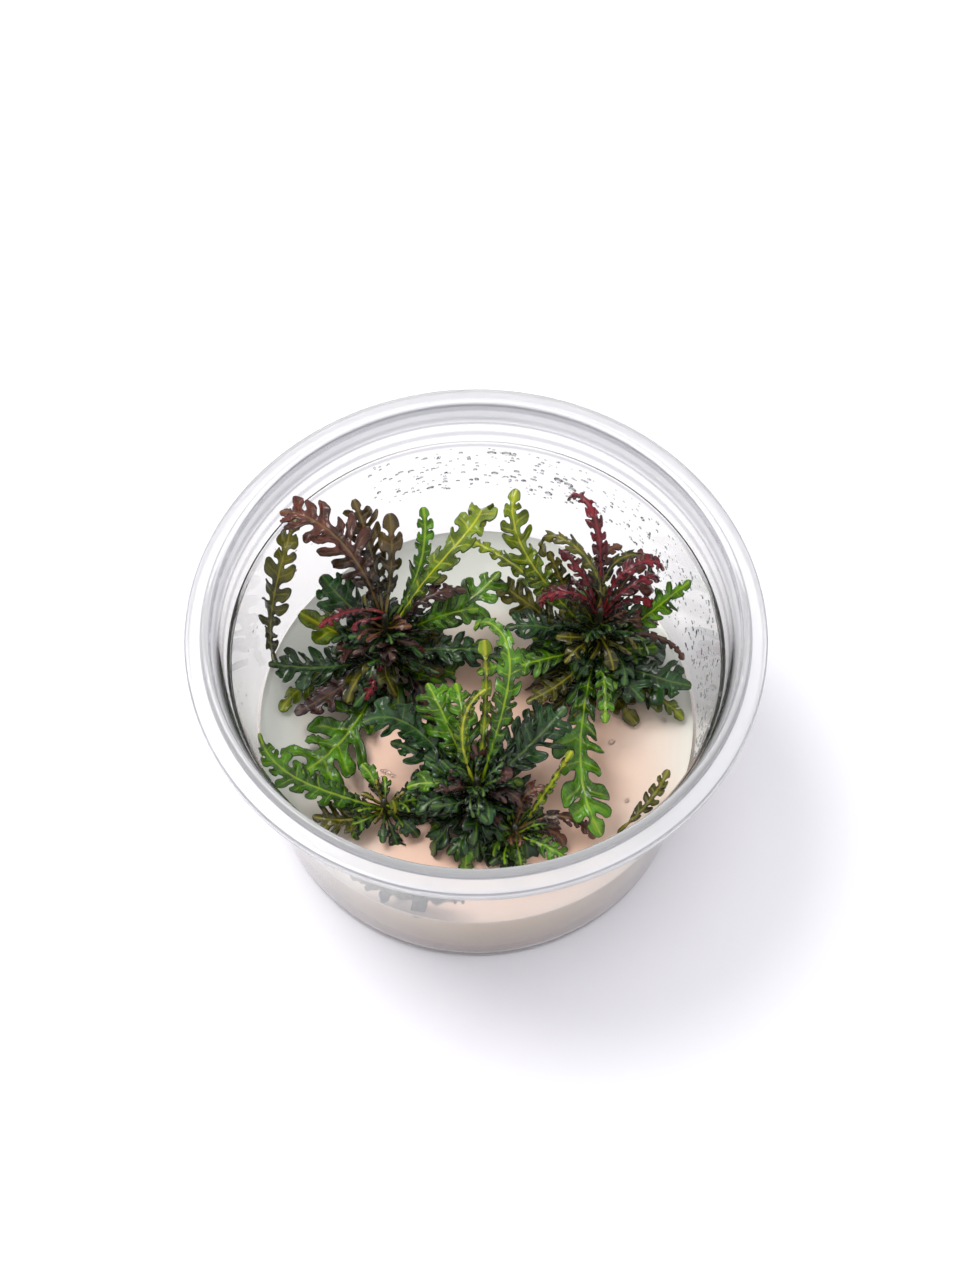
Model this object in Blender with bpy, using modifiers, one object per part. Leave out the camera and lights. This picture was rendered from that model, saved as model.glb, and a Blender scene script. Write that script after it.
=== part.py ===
"""Hygrophila pinnatifida tissue culture cup: plantlets with lobed leaves on nutrient gel, in a round
clear tub. Metres, +Z up. The origin is the middle of the tub's underside, at rest on a surface."""

import math
from typing import NamedTuple

import bmesh
import bpy
from mathutils import Vector

MM = 0.001

# Driving dimensions of the tub
RIM_DIAMETER = 0.117
HEIGHT = 0.0715
BASE_DIAMETER = 0.0972
GEL_TOP = 0.0276
WALL = 0.0007
GAP = 0.0003
TURN_STEPS = 48

# The tub's inner wall drafts outwards from its foot to the first step below the rim: (radius, height)
# in mm
TUB_WALL_FOOT = (BASE_DIAMETER / 2 / MM - 0.2, 3.8)
TUB_WALL_TOP = (BASE_DIAMETER / 2 / MM + 2.2, HEIGHT / MM - 12.1)

# Driving dimensions of the plants
STEM_DIAMETER = 0.0026
STEM_RINGS = 4
LEAF_START = 0.00175
PETIOLE_HALF_WIDTH = 0.00055
MIDRIB_HALF_DEPTH = 0.00038

# Places along one lobe where the leaf has a cross section: the notch, then the lobe's two corners
LOBE_STATIONS = (0.0, 0.3, 0.75)


class Shoot(NamedTuple):
    """A stem that stands on the gel: its place in mm from the tub's middle, and its height in mm."""

    x: float
    y: float
    tall: float


SHOOTS = {
    "left": Shoot(-20, 12, 23),
    "right": Shoot(27, 12, 25),
    "front": Shoot(0, -24, 16),
    "side": Shoot(8, -31, 7),
    "corner": Shoot(-20, -25, 7),
}


class Form(NamedTuple):
    """A leaf form: how deep its lobes are cut and how far they lean to the tip, the share of bare
    stalk, the place of the widest lobe and how far the two halves fold up."""

    cut: float
    lean: float
    stalk: float
    widest: float
    fold: float


FORMS = {
    "fern": Form(cut=0.72, lean=0.55, stalk=0.16, widest=0.55, fold=0.15),
    "narrow": Form(cut=0.45, lean=0.6, stalk=0.18, widest=0.45, fold=0.12),
    "broad": Form(cut=0.38, lean=0.4, stalk=0.14, widest=0.55, fold=0.2),
    "tailed": Form(cut=0.5, lean=0.4, stalk=0.12, widest=0.35, fold=0.2),
    "spoon": Form(cut=0.04, lean=0.2, stalk=0.3, widest=0.6, fold=0.25),
}

# Base colour and roughness of each leaf colour
TONES = {
    "brown": ((0.16, 0.06, 0.04), 0.4),
    "crimson": ((0.35, 0.05, 0.05), 0.4),
    "purple": ((0.09, 0.05, 0.06), 0.4),
    "olive": ((0.15, 0.14, 0.03), 0.4),
    "lime": ((0.27, 0.33, 0.03), 0.4),
    "green": ((0.07, 0.2, 0.02), 0.4),
    "dark": ((0.02, 0.09, 0.04), 0.35),
}


class Leaf(NamedTuple):
    """One leaf. Its base is at height mm above the surface, on its shoot or at the place (x, y) mm.
    It starts along the compass angle heading and at the angle rise above the level, and over its
    length in mm it turns by swing and dips by droop, mostly near the tip where late is large."""

    tone: str
    form: str
    root: object
    height: float
    heading: float
    rise: float
    length: float
    droop: float
    swing: float
    width: float
    lobes: int
    late: float = 1.5
    roll: float = 0


LEAVES = {
    # Left plantlet
    "left_leaf_01": Leaf("brown", "fern", "left", 47, 124, 75, 37, -97, 40, 11, 7),
    "left_leaf_02": Leaf("brown", "fern", "left", 49, 102, 52, 26, -15, 15, 7, 5),
    "left_leaf_03": Leaf("brown", "fern", "left", 50, 75, 50, 22, 0, 25, 5, 3),
    "left_leaf_04": Leaf("lime", "narrow", "left", 45, 44, 41, 28, 7, 60, 4.5, 5),
    "left_leaf_05": Leaf("lime", "broad", "left", 36, 175, 23, 20, 0, -25, 9, 3),
    "left_leaf_06": Leaf("crimson", "narrow", "left", 51.5, 160, -25, 15, 0, 55, 3, 5),
    "left_leaf_07": Leaf("purple", "broad", "left", 38, 197, 16, 10, -5, -20, 8, 3),
    "left_leaf_08": Leaf("dark", "fern", "left", 32, 200, 10, 26, -5, -33, 9.5, 5),
    "left_leaf_09": Leaf("lime", "fern", "left", 29.4, 185, 0, 27, 0, 60, 5.5, 4),
    "left_leaf_10": Leaf("green", "fern", "left", 31, 250, -4, 35, 18, -33, 17, 6),
    "left_leaf_11": Leaf("crimson", "narrow", "left", 36, 272, -22, 10, 10, -70, 3, 4),
    "left_leaf_12": Leaf("purple", "broad", "left", 33, 320, 5, 16, -50, -55, 5.5, 3),
    "left_leaf_13": Leaf("purple", "fern", "left", 42, 30, 58, 21, -90, -20, 5, 4),
    "left_leaf_14": Leaf("green", "fern", "left", 37, 20, 15, 29, 0, 27, 10.5, 6),
    "left_leaf_15": Leaf("lime", "narrow", "left", 44, 20, 63, 48, -190, 115, 4, 6, 3),
    "left_leaf_16": Leaf("green", "fern", "left", 32, 0, 5, 21, -5, 22, 5, 4),
    "left_leaf_17": Leaf("dark", "broad", "left", 42, 150, 25, 18, -5, -23, 10, 4),
    # Right plantlet
    "right_leaf_01": Leaf("lime", "fern", "right", 40, 155, 50, 41, -25, -95, 7, 7, 3),
    "right_leaf_02": Leaf("crimson", "narrow", "right", 53, 95, 66, 31, -150, 55, 3.2, 6, 3),
    "right_leaf_03": Leaf("lime", "narrow", "right", 35, -5, 62, 33, 0, 8, 5, 6),
    "right_leaf_04": Leaf("olive", "narrow", "right", 51, 128, 104, 36, -227, 24, 3, 5),
    "right_leaf_05": Leaf("olive", "narrow", "right", 51, 95, 77, 32, -210, -150, 3.2, 5, 1),
    "right_leaf_06": Leaf("brown", "narrow", "right", 49, 110, 72, 19, -102, -93, 4, 4),
    "right_leaf_07": Leaf("olive", "fern", "right", 39, 138, 49, 24, 12, -10, 5, 5),
    "right_leaf_08": Leaf("olive", "fern", "right", 33, 153, 32, 27, -24, -9, 9.5, 6),
    "right_leaf_09": Leaf("lime", "narrow", "right", 37, 138, 31, 37, -49, 6, 4, 6),
    "right_leaf_10": Leaf("dark", "broad", "right", 33, 325, 14, 22, -15, 24, 10, 5),
    "right_leaf_11": Leaf("lime", "fern", "right", 30, 320, 20, 24, -57, 8, 5, 4),
    "right_leaf_12": Leaf("green", "fern", "right", 38, 276, 25, 20, -50, -10, 3.8, 4),
    "right_leaf_13": Leaf("green", "broad", "right", 32, 196, 6, 18, 0, -37, 4.5, 4),
    "right_leaf_14": Leaf("olive", "fern", "right", 29.6, 292, 5, 17, -19, 22, 5.5, 3),
    "right_leaf_15": Leaf("brown", "narrow", "right", 37, 14, 20, 21, -72, -60, 2, 5),
    "right_leaf_16": Leaf("olive", "fern", "right", 30, 240, 0, 22, -5, -45, 5.5, 5),
    "right_leaf_17": Leaf("crimson", "narrow", "right", 53, 126, 0, 24, -180, -38, 2.5, 5),
    "right_leaf_18": Leaf("green", "broad", "right", 36, 176, 25, 13, -39, 0, 4.5, 3),
    "right_leaf_19": Leaf("green", "fern", "right", 36, 258, 10, 46, -39, 47, 10, 5, 3),
    "right_leaf_20": Leaf("olive", "broad", "right", 33, 230, 10, 19, -20, -30, 5, 4),
    # Front plantlet and the two short shoots beside it
    "front_leaf_01": Leaf("lime", "broad", "front", 38, 59, 65, 47, -138, 118, 4.5, 8, 3),
    "front_leaf_02": Leaf("green", "broad", "front", 36, 115, 32, 25, -33, 0, 9, 6),
    "front_leaf_03": Leaf("lime", "narrow", "front", 40, 120, 49, 22, -39, -94, 3, 5),
    "front_leaf_04": Leaf("dark", "fern", "front", 37.5, 31, 34, 25, -23, 19, 10, 6),
    "front_leaf_05": Leaf("dark", "broad", "front", 30, 132, 40, 33, -39, 86, 9.5, 5, 3),
    "front_leaf_06": Leaf("green", "broad", "front", 36, 168, 31, 14, -56, 25, 4.5, 3),
    "front_leaf_07": Leaf("dark", "fern", "front", 31, 256, 15, 12, -36, -43, 5.5, 3),
    "side_leaf_01": Leaf("lime", "narrow", "side", 30, 37, 63, 24, -29, 17, 2, 5),
    "side_leaf_02": Leaf("brown", "narrow", "side", 33, 19, 31, 18, -78, -73, 3.4, 4),
    "side_leaf_03": Leaf("brown", "narrow", "side", 33, 81, 60, 12, -59, -97, 3.6, 3),
    "corner_leaf_01": Leaf("green", "tailed", "corner", 31, 174, 29, 32, -10, -75, 7, 7, 3),
    "corner_leaf_02": Leaf("olive", "fern", "corner", 30, 210, 27, 15, -38, -56, 9, 5),
    "corner_leaf_03": Leaf("green", "spoon", "corner", 32, 113, 41, 9, -36, 24, 3.2, 3),
    # Leaves that stand or lie against the wall
    "wall_leaf_01": Leaf("olive", "fern", (-46.3, 12), 28.6, 60, 90, 42, -76, 12, 6, 6),
    "wall_leaf_02": Leaf("olive", "fern", (31, -29.5), 28.8, 35, 25, 17, 0, 30, 3.5, 4),
    "wall_leaf_03": Leaf("dark", "fern", (-3, -46.5), 32.5, 180, 1, 22, 0, -32, 7, 4, 1.5, 80),
}


def clear_scene():
    for item in list(bpy.data.objects):
        bpy.data.objects.remove(item, do_unlink=True)


def material(name, colour, roughness, alpha=1.0):
    made = bpy.data.materials.new(name)
    made.use_nodes = True
    shader = made.node_tree.nodes["Principled BSDF"]
    shader.inputs["Base Color"].default_value = (*colour, 1)
    shader.inputs["Roughness"].default_value = roughness
    shader.inputs["Metallic"].default_value = 0
    shader.inputs["Alpha"].default_value = alpha
    return made


def turned(name, profile_mm, finish, collection):
    """A body turned about Z from a profile in mm that runs from one point on the axis to another."""
    mesh = bpy.data.meshes.new(name)
    points = [(radius * MM, 0, height * MM) for radius, height in profile_mm]
    edges = [(i, i + 1) for i in range(len(points) - 1)]
    mesh.from_pydata(points, edges, [])
    body = bpy.data.objects.new(name, mesh)
    collection.objects.link(body)
    screw = body.modifiers.new("Screw", "SCREW")
    screw.steps = TURN_STEPS
    screw.render_steps = TURN_STEPS
    screw.use_merge_vertices = True
    screw.merge_threshold = 0.00001
    screw.use_smooth_shade = True
    mesh.materials.append(finish)
    return body


def inner_radius(height):
    """Radius of the tub's inner wall in mm, at a height in mm above the underside."""
    low, high = TUB_WALL_FOOT, TUB_WALL_TOP
    share = (height - low[1]) / (high[1] - low[1])
    return low[0] + share * (high[0] - low[0])


def make_cup(collection):
    rim = RIM_DIAMETER / 2 / MM
    top = HEIGHT / MM
    wall = WALL / MM
    foot_r, foot_z = TUB_WALL_FOOT
    step_r, step_z = TUB_WALL_TOP
    floor_top = 1.4
    recess = 0.6
    inside = [
        (0, floor_top),
        (foot_r - 2.8, floor_top),
        (foot_r - 0.8, floor_top + 0.6),
        (foot_r, foot_z),
        (step_r, step_z),
        (step_r + 1.6, top - 5.2),
        (step_r + 2.7, top - 1.8),
    ]
    bead = [
        (step_r + 2.9, top - 0.6),
        (step_r + 3.3, top),
        (step_r + 3.8, top - 0.3),
        (step_r + 4.1, top - 0.8),
    ]
    flange_and_skirt = [
        (rim - 0.5, top - 0.8),
        (rim, top - 1.2),
        (rim, top - 3.5),
        (rim - wall, top - 3.5),
        (rim - wall, top - 1.6),
        (step_r + 3.5, top - 1.6),
    ]
    outside = [
        (step_r + 2.3, top - 5.5),
        (step_r + wall, step_z - 0.3),
        (foot_r + wall, foot_z - 0.4),
        (foot_r - 0.1, 1.0),
        (foot_r - 1.6, 0),
        (foot_r - 6, 0),
        (foot_r - 6.6, recess),
        (0, recess),
    ]
    clear_plastic = material("clear_plastic", (0.93, 0.94, 0.95), 0.12, 0.35)
    return turned("cup", inside + bead + flange_and_skirt + outside, clear_plastic, collection)


def make_gel(collection):
    """The gel fills the tub up to its surface, a gap away from the wall, with a low raised edge."""
    gap = GAP / MM
    top = GEL_TOP / MM
    foot_r, foot_z = TUB_WALL_FOOT
    edge = inner_radius(top) - gap - 0.05
    profile = [
        (0, top),
        (edge - 1.4, top),
        (edge, top + 0.4),
        (foot_r - gap, foot_z),
        (foot_r - 1.0 - gap, 2.0 + gap),
        (foot_r - 2.9 - gap, 1.4 + gap),
        (0, 1.4 + gap),
    ]
    return turned("gel", profile, material("gel", (0.82, 0.62, 0.5), 0.3), collection)


def make_stem(name, shoot, finish, collection):
    """An upright tapering stem that stands on the gel and leans a little to the back."""
    curve = bpy.data.curves.new(name, "CURVE")
    curve.dimensions = "3D"
    curve.bevel_depth = STEM_DIAMETER / 2
    curve.bevel_resolution = 1
    curve.use_fill_caps = True
    spline = curve.splines.new("POLY")
    spline.points.add(STEM_RINGS - 1)
    for i, point in enumerate(spline.points):
        share = i / (STEM_RINGS - 1)
        lean = 0.6 * share**2
        height = GEL_TOP / MM + GAP / MM + shoot.tall * share
        point.co = (shoot.x * MM, (shoot.y + lean) * MM, height * MM, 1)
        point.radius = 1 - 0.45 * share
    stem = bpy.data.objects.new(name, curve)
    collection.objects.link(stem)
    curve.materials.append(finish)
    return stem


def leaf_root(leaf):
    """The leaf's first point in mm, just outside its stem or at the place that it gives."""
    if not isinstance(leaf.root, str):
        return Vector((*leaf.root, leaf.height))
    shoot = SHOOTS[leaf.root]
    out = LEAF_START / MM
    angle = math.radians(leaf.heading)
    return Vector((shoot.x + out * math.cos(angle), shoot.y + out * math.sin(angle), leaf.height))


def leaf_axes(leaf, share):
    """Unit vectors along the midrib, across the blade to its left and up from it, at a share of the
    leaf's length."""
    turned_by = share**leaf.late
    compass = math.radians(leaf.heading + leaf.swing * turned_by)
    slope = math.radians(leaf.rise + leaf.droop * turned_by)
    along = Vector(
        (
            math.cos(slope) * math.cos(compass),
            math.cos(slope) * math.sin(compass),
            math.sin(slope),
        )
    )
    level = Vector((-math.sin(compass), math.cos(compass), 0))
    up = along.cross(level)
    roll = math.radians(leaf.roll)
    across = level * math.cos(roll) + up * math.sin(roll)
    return along, across, along.cross(across)


def midrib(leaf, steps=60):
    """Points in mm along the leaf's midrib, at equal steps of its length."""
    points = [leaf_root(leaf)]
    for i in range(steps):
        along = leaf_axes(leaf, (i + 0.5) / steps)[0]
        points.append(points[-1] + along * (leaf.length / steps))
    return points


def point_at(points, share):
    place = share * (len(points) - 1)
    i = min(int(place), len(points) - 2)
    return points[i].lerp(points[i + 1], place - i)


def lobe_outline(u):
    """Width of one lobe, from 0 in a notch to 1 at its middle, at the share u of its length."""
    return (1 - abs(2 * u - 1) ** 3) ** (1 / 3)


def leaf_envelope(t, widest):
    """How far the lobes reach at the share t of the blade: small at its foot, 1 at widest."""
    stretched = t ** (math.log(0.475) / math.log(widest))
    return math.sin(math.pi * (0.12 + 0.8 * stretched))


def leaf_stations(leaf, form):
    """(share of the length, half width mm, forward shift mm) of each cross section."""
    narrow = PETIOLE_HALF_WIDTH / MM
    pitch = leaf.length * (1 - form.stalk) / leaf.lobes
    stations = [(0.0, narrow, 0.0), (form.stalk * 0.6, narrow, 0.0)]
    for lobe in range(leaf.lobes):
        for u in LOBE_STATIONS:
            t = (lobe + u) / leaf.lobes
            notch = 1 - form.cut * (1 - lobe_outline(u))
            half = max(0.8 * narrow, leaf.width / 2 * leaf_envelope(t, form.widest) * notch)
            squeeze = 0.3 * (0.5 - u) * pitch if u > 0 else 0.0
            stations.append((form.stalk + (1 - form.stalk) * t, half, form.lean * half + squeeze))
    tip = max(0.8 * narrow, leaf.width / 2 * leaf_envelope(1, form.widest) * (1 - form.cut))
    stations.append((1.0, tip, form.lean * tip))
    return stations


def leaf_sections(leaf):
    """The four corners in mm of each cross section: left margin, ridge, right margin, keel."""
    form = FORMS[leaf.form]
    rib = midrib(leaf)
    for share, half, forward in leaf_stations(leaf, form):
        along, across, up = leaf_axes(leaf, share)
        centre = point_at(rib, share)
        depth = MIDRIB_HALF_DEPTH / MM * (1 - 0.6 * share)
        margin = centre + along * forward + up * (form.fold * half)
        yield margin + across * half, centre + up * depth, margin - across * half, centre - up * depth


def make_leaf(name, leaf, finish, collection):
    """A closed loft through the leaf's lozenge-shaped cross sections, thin at both margins."""
    shape = bmesh.new()
    rings = [
        [shape.verts.new(corner * MM) for corner in section] for section in leaf_sections(leaf)
    ]
    for ring, following in zip(rings, rings[1:]):
        for k in range(4):
            nearest = (k + 1) % 4
            shape.faces.new((ring[k], ring[nearest], following[nearest], following[k]))
    shape.faces.new(rings[0])
    shape.faces.new(rings[-1])
    bmesh.ops.recalc_face_normals(shape, faces=shape.faces)
    mesh = bpy.data.meshes.new(name)
    shape.to_mesh(mesh)
    shape.free()
    mesh.materials.append(finish)
    blade = bpy.data.objects.new(name, mesh)
    collection.objects.link(blade)
    return blade


def main():
    clear_scene()
    collection = bpy.data.collections.new("hygrophila_pinnatifida_cup")
    bpy.context.scene.collection.children.link(collection)
    make_cup(collection)
    make_gel(collection)
    stem_finish = material("stem", (0.02, 0.03, 0.02), 0.45)
    for place, shoot in SHOOTS.items():
        make_stem(f"{place}_stem", shoot, stem_finish, collection)
    tones = {name: material(f"{name}_leaf", *look) for name, look in TONES.items()}
    for name, leaf in LEAVES.items():
        make_leaf(name, leaf, tones[leaf.tone], collection)


main()
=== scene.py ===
"""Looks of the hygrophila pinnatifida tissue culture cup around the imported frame: veined leaves,
crowns of young leaves, stems, nutrient gel, a clear tub and water drops."""

import math
import random
from typing import NamedTuple

import bmesh
import bpy
from mathutils import Matrix, Vector, noise

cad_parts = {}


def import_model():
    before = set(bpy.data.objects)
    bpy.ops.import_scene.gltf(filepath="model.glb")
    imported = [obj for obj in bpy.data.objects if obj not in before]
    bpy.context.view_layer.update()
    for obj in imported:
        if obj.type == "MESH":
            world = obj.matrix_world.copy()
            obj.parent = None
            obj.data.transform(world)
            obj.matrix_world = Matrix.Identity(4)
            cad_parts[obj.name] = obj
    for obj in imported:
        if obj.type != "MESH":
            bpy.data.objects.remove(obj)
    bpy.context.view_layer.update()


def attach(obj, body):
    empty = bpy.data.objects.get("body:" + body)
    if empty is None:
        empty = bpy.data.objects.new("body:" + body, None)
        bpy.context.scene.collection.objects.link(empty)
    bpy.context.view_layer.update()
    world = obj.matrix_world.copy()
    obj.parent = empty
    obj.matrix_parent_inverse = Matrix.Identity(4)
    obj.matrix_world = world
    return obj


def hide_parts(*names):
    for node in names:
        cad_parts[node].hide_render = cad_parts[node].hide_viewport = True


MM = 0.001

# The photograph's frame and camera
PHOTO_HEIGHT_PX = 1280
FOCAL_PX = 1404
SENSOR_MM = 36
CAMERA_AT = (0.0, -0.14234, 0.31420)
CAMERA_LOOKS_AT = (0.00082, 0.00611, 0.05)

# The studio's light from the horizon up, and the place in metres that its lamps aim at
HORIZON_LIGHT = (0.6, 0.605, 0.615, 1)
OVERHEAD_LIGHT = (0.9, 0.905, 0.915, 1)
LIT_PLACE = (0, 0, 0.03)

# The tub in mm: its rim, its height, the radius and height of its inner wall's foot and first step
RIM_RADIUS = 58.5
TUB_HEIGHT = 71.5
TUB_FLOOR = 1.4
WALL = 0.7
WALL_FOOT = (48.4, 3.8)
WALL_STEP = (50.8, 59.4)
FLOOR_ROUND = 2.8
FOOT_ROUND = 2.2
SEAT_BAND = 5.6
BEAD_ROUND = 0.8
TUB_SECTORS = 128

# Radii in mm of the rim's corners, where the plastic is thicker and painted shade makes it greyer
CREASE_SHADE_RINGS = (51.0, 52.4, 53.45, 55.2, 58.2)

# The gel in mm: its surface, its gap to the tub, and how high and how far in it creeps up the wall
GEL_TOP = 27.6
GAP = 0.3
CREEP = 0.4
CREEP_WIDE = 1.4
GEL_SECTORS = 96

# Middle of the pinker part of the gel's surface, in metres
PINK_MIDDLE = (0.004, -0.016, GEL_TOP * MM)

# The stems in mm: radius at the foot, sides, and how far the tops lean to the back
STEM_RADIUS = 1.3
STEM_SIDES = 14
STEM_LEAN = 0.6

# Build of the leaves in mm: where they leave the stem, how thick they are, and the midrib's half
# width and its rise above the blade
LEAF_START = 1.75
BLADE_THICK = 0.26
RIB_THICK = 0.75
RIB_HALF = 0.55
RIB_RISE = 0.12

# Cells of one segment of a blade along the midrib and across it, finest for the large leaves
LEAF_CELLS = 4
CURL_CELLS = 3
YOUNG_CELLS = 2
WEB_CELLS = 4

# Rows of the stalk, and its length in segments
STALK_ROWS = 4
STALK_RUN = 1.5

# Rows of a side lobe and of the lobe at the tip: (distance out, width), as shares of the lobe
LOBE_ROWS = ((0.12, 0.66), (0.34, 0.64), (0.58, 0.8), (0.82, 0.8), (1.0, 0.4))
TIP_ROWS = ((0.2, 0.96), (0.5, 1.0), (0.8, 0.84), (1.0, 0.4))

# The large leaves have more lobes than their CAD nodes, by this factor and up to this many in a
# stretch as long as the blade is wide; a few keep their few lobes
FINER_LOBES = 1.5
WIDEST_LOBES = 3.4
COARSE_LEAVES = ("left_leaf_05", "left_leaf_10", "right_leaf_14", "wall_leaf_03")

# Leaves of another paint than the one that their material slot is named for
REPAINTED = {
    "left_leaf_02": "olive_brown",
    "left_leaf_03": "olive_brown",
    "left_leaf_04": "green",
    "front_leaf_01": "green",
    "right_leaf_03": "green",
}

# Turn in degrees from one leaf of a crown to the next
GOLDEN_ANGLE = 137.5

# Smallest distance, in the pattern's segments, that counts as off a line
NEARLY = 0.001


class Shoot(NamedTuple):
    """A stem's place in mm from the tub's middle, and its height above the gel in mm."""

    x: float
    y: float
    tall: float


SHOOTS = {
    "left": Shoot(-20, 12, 23),
    "right": Shoot(27, 12, 25),
    "front": Shoot(0, -24, 16),
    "side": Shoot(8, -31, 7),
    "corner": Shoot(-20, -25, 7),
}


class Form(NamedTuple):
    """A leaf form: how deep its lobes are cut and how far they lean to the tip, the share of bare
    stalk, the place of the widest lobe and how far the two halves fold up."""

    cut: float
    lean: float
    stalk: float
    widest: float
    fold: float


FORMS = {
    "fern": Form(0.77, 0.6, 0.16, 0.55, 0.15),
    "narrow": Form(0.62, 0.65, 0.18, 0.45, 0.12),
    "broad": Form(0.55, 0.5, 0.14, 0.55, 0.2),
    "tailed": Form(0.62, 0.5, 0.12, 0.35, 0.2),
    "spoon": Form(0.12, 0.2, 0.3, 0.6, 0.25),
    "pressed": Form(0.2, 0.3, 0.08, 0.35, 0.0),
}


class Leaf(NamedTuple):
    """One leaf. Its base is at height mm above the table, on its shoot or at the place (x, y) mm.
    It starts along the compass angle heading and at the angle rise above the level, and over its
    length in mm it turns by swing and rises by droop, mostly near the tip where late is large.
    Its blade is width mm wide, has this many lobes on each side and leans over by roll. All angles
    are in degrees."""

    tone: str
    form: str
    root: object
    height: float
    heading: float
    rise: float
    length: float
    droop: float
    swing: float
    width: float
    lobes: int
    late: float = 1.5
    roll: float = 0


# The large leaves of each plantlet in the order of their numbers, which start at 01
LEAVES = (
    # Left plantlet
    Leaf("brown", "fern", "left", 47, 124, 75, 37, -97, 40, 11, 7),
    Leaf("brown", "fern", "left", 49, 102, 52, 26, -15, 15, 7, 5),
    Leaf("brown", "fern", "left", 50, 75, 50, 22, 0, 25, 5, 3),
    Leaf("lime", "narrow", "left", 45, 44, 41, 28, 7, 60, 4.5, 5),
    Leaf("lime", "broad", "left", 36, 175, 23, 20, 0, -25, 9, 3),
    Leaf("crimson", "narrow", "left", 51.5, 160, -25, 15, 0, 55, 3, 5),
    Leaf("purple", "broad", "left", 38, 197, 16, 10, -5, -20, 8, 3),
    Leaf("dark", "fern", "left", 32, 200, 10, 26, -5, -33, 9.5, 5),
    Leaf("lime", "fern", "left", 29.4, 185, 0, 27, 0, 60, 5.5, 4),
    Leaf("green", "fern", "left", 31, 250, -4, 35, 18, -33, 17, 6),
    Leaf("crimson", "narrow", "left", 36, 272, -22, 10, 10, -70, 3, 4),
    Leaf("purple", "broad", "left", 33, 320, 5, 16, -50, -55, 5.5, 3),
    Leaf("purple", "fern", "left", 42, 30, 58, 21, -90, -20, 5, 4),
    Leaf("green", "fern", "left", 37, 20, 15, 29, 0, 27, 10.5, 6),
    Leaf("lime", "broad", "left", 44, 20, 63, 48, -190, 115, 6.5, 6, 3),
    Leaf("green", "fern", "left", 32, 0, 5, 21, -5, 22, 5, 4),
    Leaf("dark", "broad", "left", 42, 150, 25, 18, -5, -23, 10, 4),
    # Right plantlet
    Leaf("lime", "fern", "right", 40, 155, 50, 41, -25, -95, 7, 7, 3),
    Leaf("crimson", "narrow", "right", 53, 95, 66, 31, -150, 55, 3.2, 6, 3),
    Leaf("lime", "narrow", "right", 35, -5, 62, 34, 0, 8, 6.5, 6),
    Leaf("olive", "narrow", "right", 51, 128, 104, 36, -227, 24, 3, 5),
    Leaf("olive", "narrow", "right", 51, 95, 77, 32, -210, -150, 3.2, 5, 1),
    Leaf("brown", "narrow", "right", 49, 110, 72, 19, -102, -93, 4, 4),
    Leaf("olive", "fern", "right", 39, 138, 49, 24, 12, -10, 5, 5),
    Leaf("olive", "fern", "right", 33, 153, 32, 27, -24, -9, 9.5, 6),
    Leaf("lime", "narrow", "right", 37, 138, 31, 37, -49, 6, 4, 6),
    Leaf("dark", "broad", "right", 33, 325, 14, 22, -15, 24, 10, 5),
    Leaf("lime", "fern", "right", 30, 320, 20, 24, -57, 8, 5, 4),
    Leaf("green", "fern", "right", 38, 276, 25, 20, -50, -10, 3.8, 4),
    Leaf("green", "broad", "right", 32, 196, 6, 18, 0, -37, 4.5, 4),
    Leaf("olive", "fern", "right", 29.6, 292, 5, 17, -19, 22, 5.5, 3),
    Leaf("brown", "narrow", "right", 37, 14, 20, 21, -72, -60, 2, 5),
    Leaf("olive", "fern", "right", 30, 240, 0, 22, -5, -45, 5.5, 5),
    Leaf("crimson", "narrow", "right", 53, 126, 0, 24, -180, -38, 2.5, 5),
    Leaf("green", "broad", "right", 36, 176, 25, 13, -39, 0, 4.5, 3),
    Leaf("green", "fern", "right", 36, 258, 10, 46, -39, 47, 10, 5, 3),
    Leaf("olive", "broad", "right", 33, 230, 10, 19, -20, -30, 5, 4),
    # Front plantlet and the two short shoots beside it
    Leaf("lime", "broad", "front", 38, 59, 65, 47, -138, 118, 4.5, 8, 3),
    Leaf("green", "broad", "front", 36, 115, 32, 25, -33, 0, 9, 6),
    Leaf("lime", "narrow", "front", 40, 120, 49, 22, -39, -94, 3, 5),
    Leaf("dark", "fern", "front", 37.5, 31, 34, 25, -23, 19, 10, 6),
    Leaf("dark", "broad", "front", 30, 132, 40, 33, -39, 86, 9.5, 5, 3),
    Leaf("green", "broad", "front", 36, 168, 31, 14, -56, 25, 4.5, 3),
    Leaf("dark", "fern", "front", 31, 256, 15, 12, -36, -43, 5.5, 3),
    Leaf("lime", "narrow", "side", 30, 37, 63, 24, -29, 17, 2, 5),
    Leaf("brown", "narrow", "side", 33, 19, 31, 18, -78, -73, 3.4, 4),
    Leaf("brown", "narrow", "side", 33, 81, 60, 12, -59, -97, 3.6, 3),
    Leaf("green", "tailed", "corner", 31, 174, 29, 32, -10, -75, 7, 7, 3),
    Leaf("olive", "fern", "corner", 30, 210, 27, 15, -38, -56, 9, 5),
    Leaf("green", "spoon", "corner", 32, 113, 41, 9, -36, 24, 3.2, 3),
    # Leaves that stand or lie against the wall
    Leaf("olive", "fern", (-46.3, 12), 28.6, 60, 90, 42, -76, 12, 6, 6),
    Leaf("olive", "fern", (31, -29.5), 28.8, 35, 25, 17, 0, 30, 3.5, 4),
    Leaf("dark", "pressed", (-3, -46), 33.6, 180, 1, 24, 3, -32, 11, 6, 1.5, 84),
)

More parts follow.
